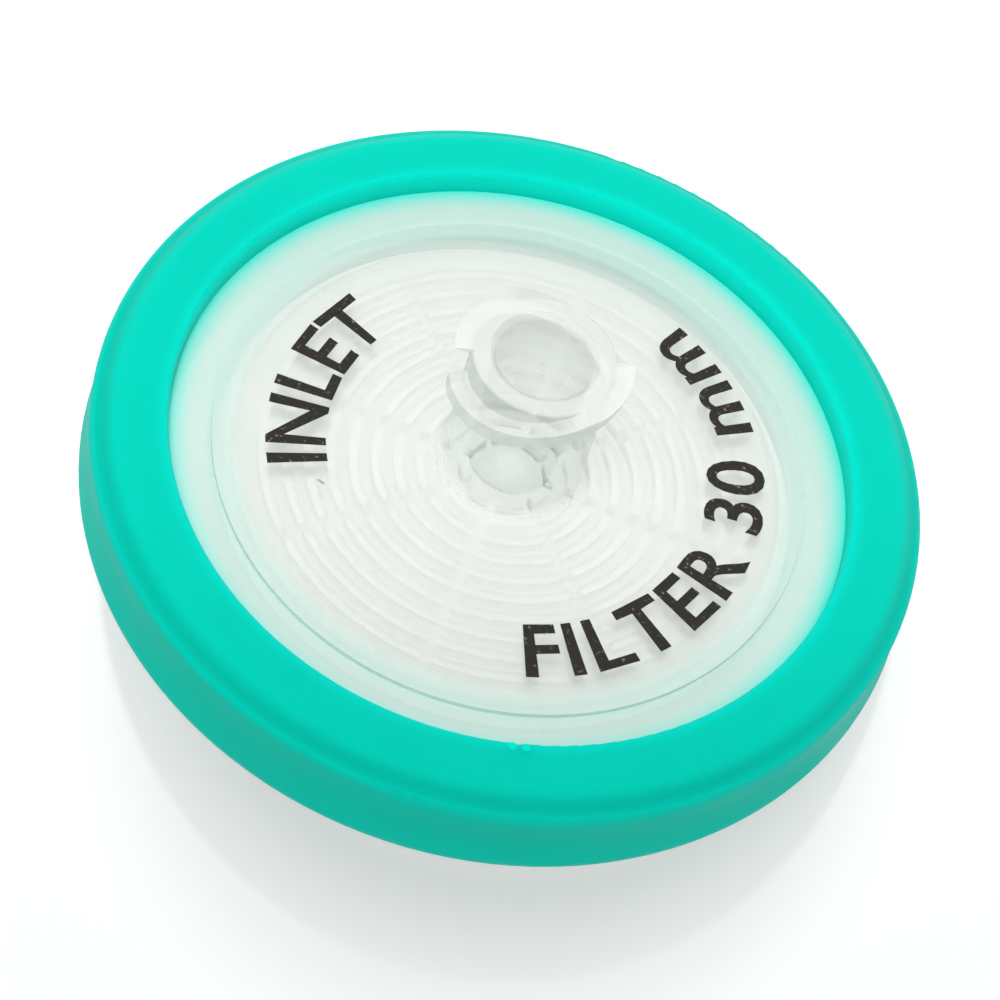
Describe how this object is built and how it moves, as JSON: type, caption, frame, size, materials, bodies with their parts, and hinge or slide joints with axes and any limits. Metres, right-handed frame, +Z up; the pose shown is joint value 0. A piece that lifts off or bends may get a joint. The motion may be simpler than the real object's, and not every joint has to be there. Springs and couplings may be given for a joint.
{
  "type": "syringe filter",
  "caption": "Round membrane syringe filter with a female luer lock inlet, a male luer slip outlet and a soft grip ring, lying on its outlet.",
  "frame": {"origin": "on the table, below the middle of the resting filter's bounding box", "axes": "+X across the ring, the longest way; +Z up from the table. The filter's axis leans back from +Z towards +Y by about 35 degrees, inlet up"},
  "size_m": [0.0374, 0.0325, 0.0246],
  "materials": {
    "housing": "frosted clear polypropylene",
    "membrane": "matt white porous nylon",
    "ring": "satin teal polypropylene"
  },
  "bodies": {
    "root": {"inlet_shell": "housing", "outlet_shell": "housing", "membrane": "membrane", "outer_ring": "ring"}
  },
  "joints": []
}
